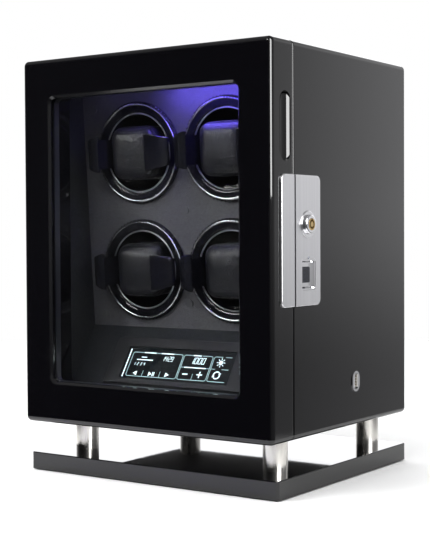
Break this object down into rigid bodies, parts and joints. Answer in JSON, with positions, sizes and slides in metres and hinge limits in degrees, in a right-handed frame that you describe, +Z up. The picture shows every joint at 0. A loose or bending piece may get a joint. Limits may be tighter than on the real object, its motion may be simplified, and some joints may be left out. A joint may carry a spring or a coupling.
{
  "type": "watch winder box",
  "caption": "Lockable glazed cabinet on posts and a plinth, with motor-driven turning cups that wind automatic watches, a sloping touch console and a key and fingerprint lock.",
  "frame": {"origin": "middle of the underside of the base felt, on the surface that the object stands on", "axes": "+Z up, -Y towards the glazed door, +X towards the lock side"},
  "size_m": [0.2613, 0.223, 0.35],
  "materials": {
    "lacquer": "black piano lacquer, high gloss",
    "felt": "pressed felt",
    "post_steel": "satin turned",
    "fastener_steel": "zinc plated",
    "hinge_steel": "blackened steel",
    "back_board": "matt black board",
    "panel_leather": "grained black leather cloth",
    "light_diffuser": "frosted diffuser over light-emitting diodes",
    "display_trim": "satin black trim",
    "display_window": "gloss black touch window",
    "display_body": "display back light body",
    "circuit_board": "green solder mask",
    "door_glass": "clear",
    "retainer": "satin black",
    "rotor_gloss": "gloss black",
    "ring_chrome": "mirror",
    "can_plastic": "moulded",
    "drive_sheet": "grey powder coat",
    "motor_steel": "drawn steel can",
    "gear_plastic": "natural acetal",
    "cushion_cloth": "soft black leather cloth over foam",
    "lock_metal": "satin with polished edges",
    "lock_works": "zinc plated",
    "key_brass": "polished",
    "socket_chrome": "mirror",
    "jack_plastic": "moulded"
  },
  "bodies": {
    "cabinet": {"base_felt": "felt", "plinth": "lacquer", "posts": "post_steel", "post_bolts": "fastener_steel", "carcass_top": "lacquer", "carcass_bottom": "lacquer", "carcass_left": "lacquer", "carcass_right": "lacquer", "back_panel": "back_board", "back_panel_screws": "fastener_steel", "interior_linings": "panel_leather", "led_bar": "light_diffuser", "rotor_panel": "panel_leather", "panel_screws": "can_plastic", "console": "panel_leather", "display_frame": "display_trim", "display_glass": "display_window", "display_module": "display_body", "control_board": "circuit_board", "hinge_leaves_cabinet": "hinge_steel", "hinge_pins": "fastener_steel", "rotor_bezels": "rotor_gloss", "chrome_rings": "ring_chrome", "rotor_cans": "can_plastic", "drive_plate": "drive_sheet", "motors": "motor_steel", "lock_plate_cabinet": "lock_metal", "lock_case": "lock_works", "key_cylinder": "lock_metal", "fingerprint_sensor": "lock_metal", "usb_port": "socket_chrome", "dc_jack": "jack_plastic"},
    "door": {"door_frame": "lacquer", "door_glass": "door_glass", "glass_retainer": "retainer", "hinge_leaves_door": "hinge_steel", "lock_plate_door": "lock_metal", "door_striker": "lock_works"},
    "key": {"key_plug": "key_brass"},
    "bolt": {"latch_bolt": "lock_works"},
    "rotor_1": {"rotor_cup_1": "rotor_gloss", "cushion_holder_1": "rotor_gloss", "drive_gear_1": "gear_plastic"},
    "pinion_1": {"motor_pinion_1": "gear_plastic"},
    "pad_1": {"cushion_1": "cushion_cloth"},
    "rotor_2": {"rotor_cup_2": "rotor_gloss", "cushion_holder_2": "rotor_gloss", "drive_gear_2": "gear_plastic"},
    "pinion_2": {"motor_pinion_2": "gear_plastic"},
    "pad_2": {"cushion_2": "cushion_cloth"},
    "rotor_3": {"rotor_cup_3": "rotor_gloss", "cushion_holder_3": "rotor_gloss", "drive_gear_3": "gear_plastic"},
    "pinion_3": {"motor_pinion_3": "gear_plastic"},
    "pad_3": {"cushion_3": "cushion_cloth"},
    "rotor_4": {"rotor_cup_4": "rotor_gloss", "cushion_holder_4": "rotor_gloss", "drive_gear_4": "gear_plastic"},
    "pinion_4": {"motor_pinion_4": "gear_plastic"},
    "pad_4": {"cushion_4": "cushion_cloth"}
  },
  "joints": [
    {"name": "door_hinge", "type": "hinge", "parent": "cabinet", "child": "door", "pos_m": [-0.128, -0.08025, 0.1965], "axis": [0, 0, -1], "range_deg": [0, 105]},
    {"name": "key_turn", "type": "hinge", "parent": "cabinet", "child": "key", "pos_m": [0.125, -0.0615, 0.2095], "axis": [1, 0, 0], "range_deg": [0, 90]},
    {"name": "bolt_slide", "type": "slide", "parent": "cabinet", "child": "bolt", "axis": [0, 0, 1], "range_m": [0, 0.00707]},
    {"name": "rotor_turn_1", "type": "hinge", "parent": "cabinet", "child": "rotor_1", "pos_m": [-0.046, -0.05408, 0.27187], "axis": [0, 0.9973, 0.0732], "continuous": true},
    {"name": "pinion_turn_1", "type": "hinge", "parent": "cabinet", "child": "pinion_1", "pos_m": [-0.046, -0.00401, 0.24546], "axis": [0, 0.9973, 0.0732], "continuous": true},
    {"name": "cushion_pull_1", "type": "slide", "parent": "rotor_1", "child": "pad_1", "axis": [0, -0.9973, -0.0732], "range_m": [0, 0.03]},
    {"name": "rotor_turn_2", "type": "hinge", "parent": "cabinet", "child": "rotor_2", "pos_m": [0.046, -0.05408, 0.27187], "axis": [0, 0.9973, 0.0732], "continuous": true},
    {"name": "pinion_turn_2", "type": "hinge", "parent": "cabinet", "child": "pinion_2", "pos_m": [0.046, -0.00401, 0.24546], "axis": [0, 0.9973, 0.0732], "continuous": true},
    {"name": "cushion_pull_2", "type": "slide", "parent": "rotor_2", "child": "pad_2", "axis": [0, -0.9973, -0.0732], "range_m": [0, 0.03]},
    {"name": "rotor_turn_3", "type": "hinge", "parent": "cabinet", "child": "rotor_3", "pos_m": [-0.046, -0.04672, 0.17173], "axis": [0, 0.9973, 0.0732], "continuous": true},
    {"name": "pinion_turn_3", "type": "hinge", "parent": "cabinet", "child": "pinion_3", "pos_m": [-0.046, 0.00334, 0.14533], "axis": [0, 0.9973, 0.0732], "continuous": true},
    {"name": "cushion_pull_3", "type": "slide", "parent": "rotor_3", "child": "pad_3", "axis": [0, -0.9973, -0.0732], "range_m": [0, 0.03]},
    {"name": "rotor_turn_4", "type": "hinge", "parent": "cabinet", "child": "rotor_4", "pos_m": [0.046, -0.04672, 0.17173], "axis": [0, 0.9973, 0.0732], "continuous": true},
    {"name": "pinion_turn_4", "type": "hinge", "parent": "cabinet", "child": "pinion_4", "pos_m": [0.046, 0.00334, 0.14533], "axis": [0, 0.9973, 0.0732], "continuous": true},
    {"name": "cushion_pull_4", "type": "slide", "parent": "rotor_4", "child": "pad_4", "axis": [0, -0.9973, -0.0732], "range_m": [0, 0.03]}
  ],
  "couplings": [
    {"joint": "key_turn", "follows": "bolt_slide", "rad_per_m": 222.14},
    {"joint": "pinion_turn_1", "follows": "rotor_turn_1", "ratio": -3},
    {"joint": "pinion_turn_2", "follows": "rotor_turn_2", "ratio": -3},
    {"joint": "pinion_turn_3", "follows": "rotor_turn_3", "ratio": -3},
    {"joint": "pinion_turn_4", "follows": "rotor_turn_4", "ratio": -3}
  ]
}
